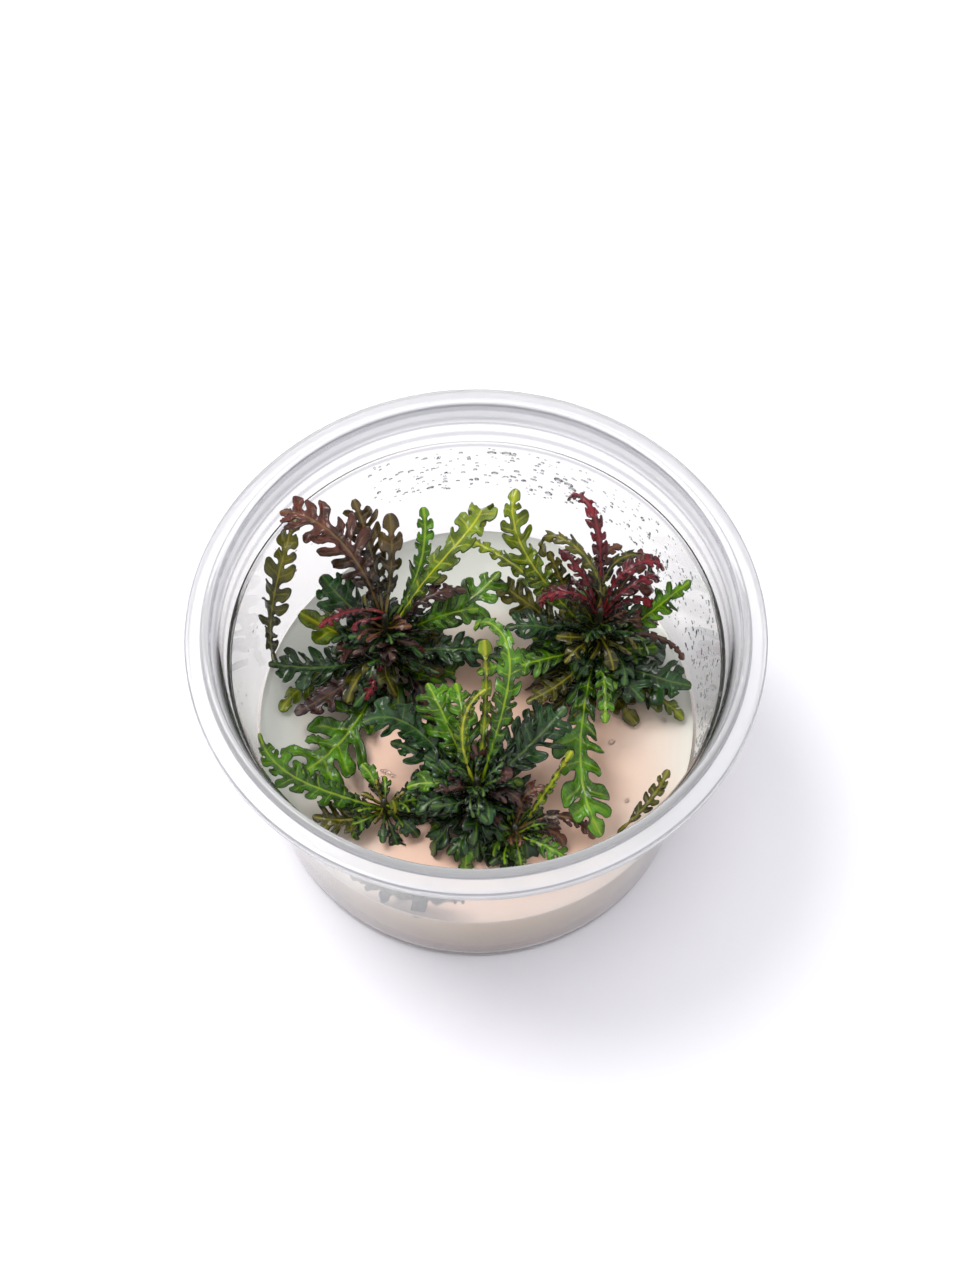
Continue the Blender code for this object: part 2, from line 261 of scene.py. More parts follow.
# Young leaves and curls that stand out from the crowns
YOUNG_LEAVES = (
    Leaf("crimson", "fern", "right", 51.5, 172, 78, 18, -175, 20, 3, 7),
    Leaf("crimson", "fern", "right", 52, 140, 80, 20, -160, -40, 3.2, 7),
    Leaf("crimson", "fern", "right", 51.5, 18, 74, 19, -170, 30, 3.2, 7),
    Leaf("crimson", "fern", "right", 52, 52, 80, 21, -150, -60, 3.4, 8),
    Leaf("crimson", "fern", "right", 50, 12, 62, 15, -150, -25, 2.6, 6),
    Leaf("brown", "fern", "right", 51, 35, 68, 20, -140, 40, 4, 7),
    Leaf("brown", "fern", "right", 50, 160, 66, 17, -150, 30, 3.6, 6),
    Leaf("purple", "broad", "left", 33, 222, 3, 24, 0, -12, 7, 6),
    Leaf("crimson", "fern", "left", 38, 262, 12, 13, -70, -40, 2.8, 6),
    Leaf("dark", "fern", "left", 33, -6, 6, 27, -4, 6, 5.5, 8),
    Leaf("green", "fern", "right", 34, 190, 10, 26, -14, 10, 6, 8),
    Leaf("green", "fern", "left", 40, 10, 38, 21, -45, 0, 8, 6),
    Leaf("dark", "fern", "left", 36, -14, 22, 21, -30, 20, 7, 6),
    Leaf("olive", "fern", "left", 43, 48, 42, 22, -50, -10, 6, 6),
    Leaf("dark", "fern", "right", 38, 172, 32, 20, -50, 10, 7, 6),
    Leaf("green", "fern", "right", 35, 203, 25, 20, -40, -10, 6, 6),
    Leaf("dark", "broad", "right", 36, 298, 18, 16, -40, 20, 7, 5),
    Leaf("green", "fern", "front", 36, 101, 44, 24, -60, 0, 7, 7),
    Leaf("dark", "fern", "front", 34, 143, 34, 21, -40, 20, 7, 6),
    Leaf("dark", "fern", "front", 36, 47, 38, 24, -50, 0, 8, 7),
    Leaf("olive", "fern", "front", 34, 73, 34, 25, -50, 10, 6, 7),
    Leaf("dark", "fern", "corner", 31, 30, 26, 12, -50, 20, 5, 5),
    Leaf("green", "fern", "side", 31, 330, 26, 12, -50, 0, 5, 5),
    Leaf("brown", "fern", "right", 49, 40, 60, 15, -130, -40, 4, 4),
    Leaf("brown", "fern", "right", 46, 350, 45, 14, -120, 40, 4.5, 4),
    Leaf("olive", "narrow", "right", 44, 303, -30, 7, -80, -40, 2.4, 3),
    Leaf("lime", "narrow", "front", 38, 81, 39, 31, -20, 14, 2, 6),
    Leaf("dark", "spoon", "front", 37, 150, 42, 9, -22, -14, 3, 3),
    Leaf("brown", "broad", "side", 31, 12, 25, 11, -77, -77, 3.2, 3),
    Leaf("dark", "broad", "side", 30, 242, 16, 7, -37, -37, 4.3, 3),
    Leaf("lime", "narrow", "corner", 31, 313, 58, 10.5, 60, -8, 2, 3),
    Leaf("dark", "spoon", "corner", 30, 268, 20, 6, -49, 0, 1.8, 3),
    Leaf("crimson", "narrow", "left", 40, 330, 30, 9, -120, 60, 1.8, 3),
    Leaf("crimson", "narrow", "left", 50, 200, 20, 8, -150, -50, 1.8, 3),
)


class Crown(NamedTuple):
    """Crumpled young leaves crowded round a shoot: how many, their lowest and highest place, the
    length of the highest and of the lowest, all in mm, and their colours from the bottom up."""

    count: int
    low: float
    high: float
    shortest: float
    longest: float
    tones: tuple


CROWNS = {
    "left": Crown(74, 30, 46, 5, 17, ("green", "dark", "olive", "dark", "purple", "dark", "brown")),
    "right": Crown(80, 30, 48, 5, 17, ("olive", "dark", "green", "dark", "olive", "dark", "brown")),
    "front": Crown(76, 29, 42, 5, 16, ("dark", "green", "dark", "purple", "dark", "dark")),
    "side": Crown(20, 28.5, 34, 4, 10, ("dark", "green", "brown")),
    "corner": Crown(20, 28.5, 34, 4, 10, ("dark", "green", "olive")),
}


# Drops on the inner wall: how many, between which compass angles, heights in mm and widths in mm,
# and how much taller than wide they are
SPRAYS = (
    (200, (48, 118), (44, 59), (0.45, 1.2), 0.8),
    (34, (60, 112), (46, 58), (1.0, 2.4), 0.6),
    (300, (-22, 48), (32, 59), (0.4, 1.3), 1.0),
    (26, (-10, 40), (34, 56), (0.5, 0.9), 4.0),
    (26, (118, 200), (40, 60), (0.3, 0.8), 0.9),
)

# Flat beads of water on the gel: their place and their two widths in mm, and their turn
BEADS = (
    (-21.5, -16.8, 2.6, 1.3, 70),
    (-20.2, -14.9, 3.0, 1.4, -20),
    (-18.6, -15.8, 1.5, 1.1, 0),
    (40.7, 18.4, 2.8, 1.6, 120),
    (30.4, -7.8, 2.0, 1.4, 30),
    (42.5, -2.4, 1.6, 1.2, 90),
    (18.5, -14.6, 1.4, 1.0, 0),
    (-29.0, 5.6, 1.8, 1.2, 40),
    (12.0, 30.0, 1.9, 1.3, 10),
    (-6.0, 26.0, 1.3, 1.0, 0),
    (33.0, -22.0, 1.5, 1.1, 50),
)


def paint(red, green, blue):
    """A screen colour, each part from 0 to 255, as Blender's linear colour."""

    def linear(part):
        share = part / 255
        return share / 12.92 if share <= 0.04045 else ((share + 0.055) / 1.055) ** 2.4

    return (linear(red), linear(green), linear(blue), 1)


LEAF_COLOURS = ("Stalk Colour", "Tip Colour", "Vein Colour", "Margin Colour")

# Each paint's screen colours in that order
LEAF_PAINTS = {
    "brown": ((15, 17, 10), (86, 40, 32), (112, 84, 40), (26, 9, 9)),
    "olive_brown": ((15, 18, 9), (74, 56, 24), (112, 94, 40), (24, 12, 8)),
    "crimson": ((46, 8, 16), (98, 8, 26), (128, 28, 28), (30, 5, 12)),
    "purple": ((20, 18, 12), (58, 28, 28), (92, 68, 44), (16, 8, 9)),
    "olive": ((26, 38, 8), (78, 76, 12), (144, 134, 36), (18, 16, 5)),
    "lime": ((38, 76, 8), (98, 116, 6), (188, 184, 40), (20, 34, 5)),
    "green": ((18, 56, 6), (68, 114, 6), (148, 174, 36), (12, 29, 4)),
    "dark": ((7, 26, 10), (24, 60, 21), (84, 110, 36), (3, 12, 5)),
}


def select_only(piece):
    bpy.ops.object.select_all(action="DESELECT")
    bpy.context.view_layer.objects.active = piece
    piece.select_set(True)


def start_piece(name, add_primitive, **size):
    """Adds a primitive with its place in its mesh, as the start of a piece."""
    bpy.ops.object.select_all(action="DESELECT")
    add_primitive(**size)
    piece = bpy.context.object
    piece.name = piece.data.name = name
    bpy.ops.object.transform_apply(rotation=False, scale=False)
    return piece


def copy_of(piece, name):
    """A copy of a piece with its own mesh."""
    made = bpy.data.objects.new(name, piece.data.copy())
    made.data.name = name
    bpy.context.scene.collection.objects.link(made)
    return made


def edit_points(piece, wanted):
    """Goes into edit mode with only the points selected that wanted(point) is true for."""
    select_only(piece)
    for part in (*piece.data.polygons, *piece.data.edges):
        part.select = False
    for point in piece.data.vertices:
        point.select = wanted(point.co)
    bpy.ops.object.mode_set(mode="EDIT")
    bpy.ops.mesh.select_mode(type="VERT")


def end_edit():
    bpy.ops.object.mode_set(mode="OBJECT")


def modify(piece, kind, **settings):
    """Puts a modifier on a piece and applies it."""
    modifier = piece.modifiers.new(kind, kind)
    for label, value in settings.items():
        setattr(modifier, label, value)
    select_only(piece)
    bpy.ops.object.modifier_apply(modifier=modifier.name)


def join_pieces(name, pieces):
    select_only(pieces[0])
    for piece in pieces[1:]:
        piece.select_set(True)
    bpy.ops.object.join()
    pieces[0].name = pieces[0].data.name = name
    return pieces[0]


def smooth_below(piece, degrees):
    """Shades a piece smoothly, but keeps its edges that are sharper than this angle."""
    piece.data.shade_smooth()
    select_only(piece)
    bpy.ops.object.shade_smooth_by_angle(angle=math.radians(degrees))


def leaf_root(leaf):
    """The leaf's first point in mm, just outside its stem or at the place that it gives."""
    if not isinstance(leaf.root, str):
        return Vector((*leaf.root, leaf.height))
    shoot = SHOOTS[leaf.root]
    angle = math.radians(leaf.heading)
    out = Vector((math.cos(angle), math.sin(angle), 0)) * LEAF_START
    return Vector((shoot.x, shoot.y, leaf.height)) + out


def stalk_foot(leaf):
    """Where the leaf's stalk leaves its stem, or the gel under a leaf that stands alone."""
    if not isinstance(leaf.root, str):
        return leaf_root(leaf) - Vector((0, 0, 2))
    shoot = SHOOTS[leaf.root]
    share = (leaf.height - GEL_TOP) / shoot.tall
    return Vector((shoot.x, shoot.y + STEM_LEAN * share**2, leaf.height - 1.2))


def leaf_axes(leaf, share):
    """Unit vectors along the midrib, across the blade to its left and up from it, at a share of
    its length."""
    turned_by = min(max(share, 0), 1) ** leaf.late
    compass = math.radians(leaf.heading + leaf.swing * turned_by)
    slope = math.radians(leaf.rise + leaf.droop * turned_by)
    flat = math.cos(slope)
    along = Vector((flat * math.cos(compass), flat * math.sin(compass), math.sin(slope)))
    level = Vector((-math.sin(compass), math.cos(compass), 0))
    up = along.cross(level)
    roll = math.radians(leaf.roll)
    across = level * math.cos(roll) + up * math.sin(roll)
    return along, across, along.cross(across)


def midrib(leaf, steps=60):
    """Points in mm along the leaf's midrib, at equal steps of its length."""
    points = [leaf_root(leaf)]
    for i in range(steps):
        along = leaf_axes(leaf, (i + 0.5) / steps)[0]
        points.append(points[-1] + along * (leaf.length / steps))
    return points


def point_at(points, share):
    """The place at a share of the way along evenly spaced points."""
    place = max(share, 0) * (len(points) - 1)
    i = min(int(place), len(points) - 2)
    return points[i].lerp(points[i + 1], place - i)


def leaf_envelope(t, widest):
    """How far the lobes reach at the share t of the blade: small at its foot, 1 at widest."""
    stretched = t ** (math.log(0.475) / math.log(widest))
    return math.sin(math.pi * (0.12 + 0.8 * stretched))


def pull_row(move, stretch, about):
    """Extrudes the selected row, moves it and stretches it about a point."""
    bpy.ops.mesh.extrude_region_move(TRANSFORM_OT_translate={"value": move})
    bpy.ops.transform.resize(value=stretch, center_override=about)


def pull_lobe(rows, way, wide_axis, about):
    """Extrudes the selected row along way through the rows of a lobe, in edit mode."""
    out, wide = 0.0, 1.0
    for next_out, next_wide in rows:
        stretch = [1, 1, 1]
        stretch[wide_axis] = next_wide / wide
        pull_row([part * (next_out - out) for part in way], stretch, about)
        out, wide = next_out, next_wide


def repeat_segment(blade, count):
    """Sets copies of the first segment behind each other, merged into one sheet."""
    offset = {"use_relative_offset": False, "use_constant_offset": True}
    merging = {"use_merge_vertices": True, "merge_threshold": NEARLY}
    modify(blade, "ARRAY", count=count, constant_offset_displace=(1, 0, 0), **offset, **merging)


def flat_blade(name, form, lobes, cells):
    """A leaf pattern in its plane. One segment is 1 long, so the side lobes run from x = 0 to
    lobes - 1 and the lobe at the tip is the last segment; the stalk is at x below 0, and the
    side lobes end at y = -1 and 1."""
    web = 1 - form.cut
    grid = {"x_subdivisions": cells, "y_subdivisions": WEB_CELLS, "location": (0.5, 0, 0)}
    blade = start_piece(name, bpy.ops.mesh.primitive_grid_add, size=1, **grid)
    bpy.ops.object.mode_set(mode="EDIT")
    bpy.ops.transform.resize(value=(1, 2 * web, 1), center_override=(0.5, 0, 0))
    end_edit()
    for side in (1, -1):
        edit_points(blade, lambda point: point.y * side > web - NEARLY)
        pull_lobe(LOBE_ROWS, (0, side * form.cut, 0), 0, (0.5, 0, 0))
        end_edit()
    repeat_segment(blade, lobes - 1)
    edit_points(blade, lambda point: point.x > lobes - 1 - NEARLY)
    pull_lobe(TIP_ROWS, (1, 0, 0), 1, (0, 0, 0))
    end_edit()
    edit_points(blade, lambda point: point.x < NEARLY)
    for _ in range(STALK_ROWS):
        pull_row((-STALK_RUN / STALK_ROWS, 0, 0), (1, 1, 1), (0, 0, 0))
    end_edit()
    return blade


def mark_points(blade, label, values):
    blade.data.attributes.new(label, "FLOAT", "POINT").data.foreach_set("value", values)


def mark_blade(blade, form, lobes):
    """Gives each corner its place in its lobe, and each point its margin, 1 on the outline, and its
    share of the leaf's length."""
    mesh = blade.data
    places = mesh.uv_layers[0]
    places.name = "lobe"
    for polygon in mesh.polygons:
        number = math.floor(polygon.center.x)
        for corner in polygon.loop_indices:
            point = mesh.vertices[mesh.loops[corner].vertex_index].co
            if number >= lobes - 1:
                place = (0.5 + 0.5 * point.y, 0.3 + 0.7 * (point.x - lobes + 1))
            else:
                place = (point.x - number, abs(point.y))
            places.data[corner].uv = place
    work = bmesh.new()
    work.from_mesh(mesh)
    margin = [1.0 if point.is_boundary else 0.0 for point in work.verts]
    work.free()
    shares = [max(point.co.x, 0.0) / lobes for point in mesh.vertices]
    mark_points(blade, "margin", margin)
    mark_points(blade, "along", [form.stalk + (1 - form.stalk) * share for share in shares])


class BladeShape:
    """The shape of one leaf's blade. Each side lobe has its own whims: length, lift, twist, lean."""

    def __init__(self, leaf, seed):
        self.leaf = leaf
        self.seed = seed
        self.form = FORMS[leaf.form]
        self.web = 1 - self.form.cut
        self.pitch = leaf.length * (1 - self.form.stalk) / leaf.lobes
        self.stalk_half = 0.2 + 0.009 * leaf.length
        chance = random.Random(seed)
        self.whims = {
            (number, side): [chance.uniform(-1, 1) for _ in range(4)]
            for number in range(-2, leaf.lobes + 1)
            for side in (-1, 1)
        }

    def half_width(self, t):
        """Half the blade's width in mm at the share t of the blade."""
        lobed = self.leaf.width / 2 * leaf_envelope(t, self.form.widest)
        return max(self.stalk_half, lobed)

    def share(self, x):
        """The share of the leaf's length at the place x of the pattern, past the stalk."""
        return self.form.stalk + (1 - self.form.stalk) * x / self.leaf.lobes

    def stalk_spot(self, x, reach):
        narrow = min(1.0, -x / 0.45)
        joined = (1 - narrow) * self.web * self.half_width(0)
        beside = reach / self.web * (self.stalk_half * narrow + joined)
        return (self.form.stalk * (1 + x), beside, 0.0, 0.0)

    def tip_spot(self, x, reach):
        lobes = self.leaf.lobes
        joined = self.web * self.half_width((lobes - 1) / lobes)
        own = max(0.4 * self.pitch, joined) * (0.45 if self.leaf.form == "tailed" else 1.0)
        into_tip = x - lobes + 1
        blend = min(into_tip / 0.35, 1.0)
        beside = reach / self.web * (joined * (1 - blend) + own * blend)
        lift = -0.05 * self.pitch * into_tip**2
        return (self.share(x), beside, lift, self.form.lean * (1 - blend))

    def lobe_spot(self, x, reach, side):
        # The lobes of one side don't start quite where those of the other side do
        slip = 0.5 * noise.noise(Vector((x * 0.8, side * 5.0, self.seed * 1.7)))
        slip *= min(reach / self.web, x, self.leaf.lobes - 1 - x, 1)
        number = min(int(x), self.leaf.lobes - 2)
        longer, lifted, twisted, leaned = self.whims[(number, side)]
        out = max(0.0, (reach - self.web) / self.form.cut)
        beside = reach * self.half_width(x / self.leaf.lobes) * (1 + 0.28 * longer * out)
        across_lobe = x - number - 0.5
        valley = (1 - math.cos(2 * math.pi * across_lobe)) * min(reach / self.web, 1)
        lift = 0.07 * self.pitch * valley - 0.1 * self.pitch * out * out
        lift += 0.4 * lifted * out * out * beside + 0.9 * twisted * across_lobe * self.pitch * out
        return (self.share(x + slip), beside, lift, self.form.lean * (1 + 0.45 * leaned * out))

    def spot(self, x, y):
        """Where a point of the pattern goes: its share of the leaf's length, its distance from the
        midrib and its lift above the blade in mm, and how far its lobe leans to the tip."""
        if x <= 0:
            return self.stalk_spot(x, abs(y))
        if x > self.leaf.lobes - 1:
            return self.tip_spot(x, abs(y))
        return self.lobe_spot(x, abs(y), 1 if y >= 0 else -1)

    def crinkle(self, x, y, beside):
        """How far the uneven blade stands up or down in mm, less near the midrib."""
        wide = self.leaf.width
        rough = noise.noise(Vector((x * self.pitch * 0.5, y * wide * 0.25, self.seed * 7.3)))
        rough += 0.8 * noise.noise(Vector((x * self.pitch * 1.3, y * wide * 0.65, self.seed * 3.1)))
        return (0.1 + 0.06 * wide) * rough * min(beside, 1)


def bend_blade(blade, leaf, seed):
    """Bends the flat pattern along the leaf's midrib, in metres, folds its two halves up, and notes
    how fleshy each point is and how far in mm it is from the midrib."""
    shape = BladeShape(leaf, seed)
    rib = midrib(leaf)
    foot = stalk_foot(leaf)
    thick = blade.vertex_groups.new(name="thick")
    thin = BLADE_THICK / RIB_THICK
    rib_distance = []
    for point in blade.data.vertices:
        x, y = point.co.x, point.co.y
        share, beside, lift, lean = shape.spot(x, y)
        if share < 0:
            base = leaf_root(leaf).lerp(foot, min(-share / shape.form.stalk / 0.5, 1.0))
        else:
            base = point_at(rib, min(share, 1))
        along, across, up = leaf_axes(leaf, share)
        near_rib = max(0.0, 1 - beside / RIB_HALF)
        height = shape.form.fold * beside + lift
        height += shape.crinkle(x, y, beside) + RIB_RISE * near_rib
        sideways = beside if y >= 0 else -beside
        bent = base + along * lean * beside + across * sideways + up * height
        point.co = bent * MM
        fleshy = max(near_rib, 1.0 if x < -0.2 else 0.0)
        thick.add([point.index], thin + (1 - thin) * fleshy, "REPLACE")
        rib_distance.append(beside)
    mark_points(blade, "rib", rib_distance)


def thicken_blade(blade):
    groups = {"vertex_group": "thick", "thickness_vertex_group": 0.05}
    modify(blade, "SOLIDIFY", thickness=RIB_THICK * MM, offset=0, **groups)
    blade.data.shade_smooth()


class LeafMaker:
    """Grows leaves. Each flat pattern is modelled once and then copied for its leaves."""

    def __init__(self, finishes):
        self.finishes = finishes
        self.patterns = {}
        self.grown = 0

    def pattern(self, form_name, lobes, cells):
        key = (form_name, lobes, cells)
        if key not in self.patterns:
            form = FORMS[form_name]
            blade = flat_blade("_".join(map(str, key)), form, lobes, cells)
            # Rounds the lobes and makes the cells fine enough to bend
            if cells > YOUNG_CELLS:
                modify(blade, "SUBSURF", levels=1, render_levels=1)
            mark_blade(blade, form, lobes)
            self.patterns[key] = blade
        return self.patterns[key]

    def grow(self, name, leaf, cells):
        blade = copy_of(self.pattern(leaf.form, leaf.lobes, cells), name)
        self.grown += 1
        bend_blade(blade, leaf, self.grown)
        thicken_blade(blade)
        blade.data.materials.append(self.finishes[leaf.tone])
        return blade

    def clear_patterns(self):
        for blade in self.patterns.values():
            bpy.data.objects.remove(blade, do_unlink=True)


def crown_leaves(place, crown):
    """The young leaves of one crown, turned by the golden angle from each to the next."""
    chance = random.Random(place)
    for i in range(crown.count):
        share = i / (crown.count - 1)
        length = crown.longest + (crown.shortest - crown.longest) * share
        length *= chance.uniform(0.75, 1.15)
        step = share * (len(crown.tones) - 1) + chance.uniform(-0.6, 0.6)
        tone = crown.tones[min(max(round(step), 0), len(crown.tones) - 1)]
        yield Leaf(
            tone,
            chance.choice(("fern", "broad", "broad", "fern", "narrow", "spoon")),
            place,
            crown.low + (crown.high - crown.low) * share,
            GOLDEN_ANGLE * i + chance.uniform(-25, 25),
            5 + 65 * share + chance.uniform(-20, 20),
            length,
            chance.uniform(-130, -15),
            chance.uniform(-70, 70),
            length * chance.uniform(0.3, 0.46),
            chance.choice((3, 4)),
            1.5,
            chance.uniform(-45, 45),
        )


def finer_lobes(name, leaf):
    """How many lobes the leaf gets: more than its CAD node, but none too thin."""
    if name in COARSE_LEAVES:
        return leaf.lobes
    blade_length = leaf.length * (1 - FORMS[leaf.form].stalk)
    most = round(blade_length / leaf.width * WIDEST_LOBES)
    return max(min(round(leaf.lobes * FINER_LOBES), most), leaf.lobes, 3)


def named_leaves():
    """Each large leaf with its CAD node's name: its shoot, or wall, and its number there."""
    counts = {}
    for leaf in LEAVES:
        place = leaf.root if isinstance(leaf.root, str) else "wall"
        counts[place] = counts.get(place, 0) + 1
        yield f"{place}_leaf_{counts[place]:02d}", leaf


def make_leaves(maker):
    """The large leaves, each in place of its CAD node."""
    for name, leaf in named_leaves():
        tone = REPAINTED.get(name, leaf.tone)
        finer = leaf._replace(lobes=finer_lobes(name, leaf), tone=tone)
        blade = maker.grow(name + "_blade", finer, LEAF_CELLS)
        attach(blade, "root")
        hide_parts(name)


def make_crowns(maker):
    """The young leaves, joined for each shoot and colour."""
    young = []
    for place, crown in CROWNS.items():
        young += [(leaf, YOUNG_CELLS) for leaf in crown_leaves(place, crown)]
    young += [(leaf, CURL_CELLS) for leaf in YOUNG_LEAVES]
    groups = {}
    for leaf, cells in young:
        grown = maker.grow("young_leaf", leaf, cells)
        groups.setdefault((leaf.root, leaf.tone), []).append(grown)
    for (place, tone), blades in groups.items():
        crown = join_pieces(f"{place}_crown_{tone}", blades)
        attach(crown, "root")


class Graph:
    """Short forms for the nodes of one node tree."""

    def __init__(self, tree):
        self.nodes = tree.nodes
        self.links = tree.links

    def node(self, kind, **settings):
        made = self.nodes.new("ShaderNode" + kind)
        for label, value in settings.items():
            setattr(made, label, value)
        return made

    def feed(self, socket, value):
        """Sets a socket to a constant, or links another node's output to it."""
        if isinstance(value, (int, float, tuple)):
            socket.default_value = value
        else:
            self.links.new(value, socket)

    def maths(self, kind, first, second=0.0, third=0.0):
        made = self.node("Math", operation=kind)
        for socket, value in zip(made.inputs, (first, second, third)):
            self.feed(socket, value)
        return made.outputs[0]

    def vector_maths(self, kind, first, second):
        made = self.node("VectorMath", operation=kind)
        for socket, value in zip(made.inputs, (first, second)):
            self.feed(socket, value)
        return made.outputs["Value" if kind == "DISTANCE" else "Vector"]

    def ramp(self, value, low, high, to_low=0.0, to_high=1.0):
        made = self.node("MapRange", interpolation_type="SMOOTHSTEP")
        labels = ("Value", "From Min", "From Max", "To Min", "To Max")
        for label, number in zip(labels, (value, low, high, to_low, to_high)):
            self.feed(made.inputs[label], number)
        return made.outputs["Result"]

    def mix(self, share, first, second, kind="MIX"):
        made = self.node("Mix", data_type="RGBA", blend_type=kind)
        # A Mix node's inputs 0, 6 and 7 are its share and its two colours
        for place, value in ((0, share), (6, first), (7, second)):
            self.feed(made.inputs[place], value)
        return made.outputs[2]

    def noise(self, where, scale, detail=2.0):
        made = self.node("TexNoise")
        for label, value in (("Vector", where), ("Scale", scale), ("Detail", detail)):
            self.feed(made.inputs[label], value)
        return made.outputs["Fac"]

    def where(self):
        return self.node("TexCoord").outputs["Object"]

    def attribute(self, label):
        return self.node("Attribute", attribute_name=label).outputs["Fac"]

    def split(self, vector):
        made = self.node("SeparateXYZ")
        self.feed(made.inputs[0], vector)
        return made.outputs

    def bump(self, height, strength, distance_mm):
        made = self.node("Bump")
        made.inputs["Strength"].default_value = strength
        made.inputs["Distance"].default_value = distance_mm * MM
        self.feed(made.inputs["Height"], height)
        return made.outputs["Normal"]


def new_material(name):
    """A material with its shader's inputs and its graph."""
    made = bpy.data.materials.new(name)
    made.use_nodes = True
    return made, made.node_tree.nodes["Principled BSDF"].inputs, Graph(made.node_tree)


def new_group(name, given, result):
    """A shader node group with its graph, inputs and outputs. Labels with Colour take a colour."""
    group = bpy.data.node_groups.new(name, "ShaderNodeTree")
    for in_out, labels in (("INPUT", given), ("OUTPUT", result)):
        for label in labels:
            kind = "NodeSocketColor" if "Colour" in label else "NodeSocketFloat"
            group.interface.new_socket(label, in_out=in_out, socket_type=kind)
    inputs = group.nodes.new("NodeGroupInput").outputs
    outputs = group.nodes.new("NodeGroupOutput").inputs
    return group, Graph(group), inputs, outputs


def leaf_group():
    """Colour, gloss and relief of a leaf from its colours, with veins, margin and mottling."""
    results = ("Colour", "Roughness", "Height")
    group, graph, given, result = new_group("leaf_blade", LEAF_COLOURS, results)
    place = graph.split(graph.node("UVMap", uv_map="lobe").outputs["UV"])
    outward = place["Y"]
    beside = graph.maths("ABSOLUTE", graph.maths("SUBTRACT", place["X"], 0.5))
    where = graph.where()
    blotch = graph.noise(where, 260, 3)
    fine = graph.noise(where, 1500)

    midrib_line = graph.ramp(graph.attribute("rib"), 0.08, 0.4, 0.65, 0.0)
    lobe_line = graph.ramp(beside, 0.02, 0.08, 0.35, 0.0)
    lobe_line = graph.maths("MULTIPLY", lobe_line, graph.ramp(outward, 0.7, 1.0, 1.0, 0.0))
    # Fine veins leave the lobe's own vein at a slant
    slanted = graph.maths("MULTIPLY_ADD", outward, 26.0, graph.maths("MULTIPLY", beside, -22.0))
    from_vein = graph.maths("ABSOLUTE", graph.maths("SINE", slanted))
    fine_line = graph.ramp(from_vein, 0.0, 0.35, 0.2, 0.0)
    veins = graph.maths("MAXIMUM", midrib_line, graph.maths("MAXIMUM", lobe_line, fine_line))

    wander = graph.maths("MULTIPLY_ADD", blotch, 0.5, graph.attribute("along"))
    towards_tip = graph.ramp(wander, 0.35, 1.15)
    colour = graph.mix(towards_tip, given["Stalk Colour"], given["Tip Colour"])
    shade = graph.ramp(blotch, 0.32, 0.7, 0.5, 1.4)
    grey = graph.node("CombineColor")
    for channel in grey.inputs:
        graph.feed(channel, shade)
    colour = graph.mix(1.0, colour, grey.outputs["Color"], "MULTIPLY")
    colour = graph.mix(veins, colour, given["Vein Colour"])
    at_margin = graph.ramp(graph.attribute("margin"), 0.3, 1.0, 0.0, 0.75)
    colour = graph.mix(at_margin, colour, given["Margin Colour"])
    graph.feed(result["Colour"], colour)
    graph.feed(result["Roughness"], graph.ramp(fine, 0.2, 0.8, 0.24, 0.5))
    relief = graph.maths("MULTIPLY_ADD", fine, 0.35, graph.maths("MULTIPLY", veins, -0.6))
    graph.feed(result["Height"], graph.maths("MULTIPLY_ADD", blotch, 0.5, relief))
    return group


def leaf_finish(name, colours, group):
    """Skin of the leaves of one paint, with a wet gloss over its veins."""
    made, shader, graph = new_material(name + "_leaf_skin")
    look = graph.node("Group", node_tree=group)
    for label, colour in zip(LEAF_COLOURS, colours):
        look.inputs[label].default_value = paint(*colour)
    graph.feed(shader["Base Color"], look.outputs["Colour"])
    graph.feed(shader["Roughness"], look.outputs["Roughness"])
    graph.feed(shader["Normal"], graph.bump(look.outputs["Height"], 0.8, 0.2))
    shader["Coat Weight"].default_value = 0.35
    shader["Coat Roughness"].default_value = 0.09
    shader["Specular IOR Level"].default_value = 0.25
    return made


def stem_finish():
    """Near-black green skin with paler lengthwise streaks."""
    made, shader, graph = new_material("stem_skin")
    streaks = graph.noise(graph.vector_maths("MULTIPLY", graph.where(), (1, 1, 0.12)), 1800)
    colour = graph.mix(graph.ramp(streaks, 0.35, 0.75), paint(20, 26, 20), paint(66, 62, 40))
    graph.feed(shader["Base Color"], colour)
    graph.feed(shader["Normal"], graph.bump(streaks, 0.4, 0.1))
    shader["Roughness"].default_value = 0.35
    shader["Coat Weight"].default_value = 0.4
    return made


def gel_finish():
    """Cloudy jelly, pink-beige in the middle, greyer towards the wall, browner at side and foot."""
    made, shader, graph = new_material("cloudy_gel")
    where = graph.where()
    clouds = graph.noise(where, 28, 3)
    from_middle = graph.vector_maths("DISTANCE", where, PINK_MIDDLE)
    wander = graph.maths("MULTIPLY_ADD", clouds, 0.02, from_middle)
    colour = graph.mix(graph.ramp(wander, 0.034, 0.06), paint(236, 196, 174), paint(224, 226, 218))
    height = graph.split(where)["Z"]
    at_side = graph.ramp(height, (GEL_TOP - 0.2) * MM, (GEL_TOP - 1.4) * MM)
    colour = graph.mix(at_side, colour, paint(214, 176, 120))
    colour = graph.mix(graph.ramp(height, 16 * MM, 4 * MM), colour, paint(166, 88, 56))
    graph.feed(shader["Base Color"], colour)
    graph.feed(shader["Normal"], graph.bump(clouds, 0.15, 0.6))
    shader["Roughness"].default_value = 0.2
    shader["Coat Weight"].default_value = 0.15
    shader["Coat Roughness"].default_value = 0.06
    return made


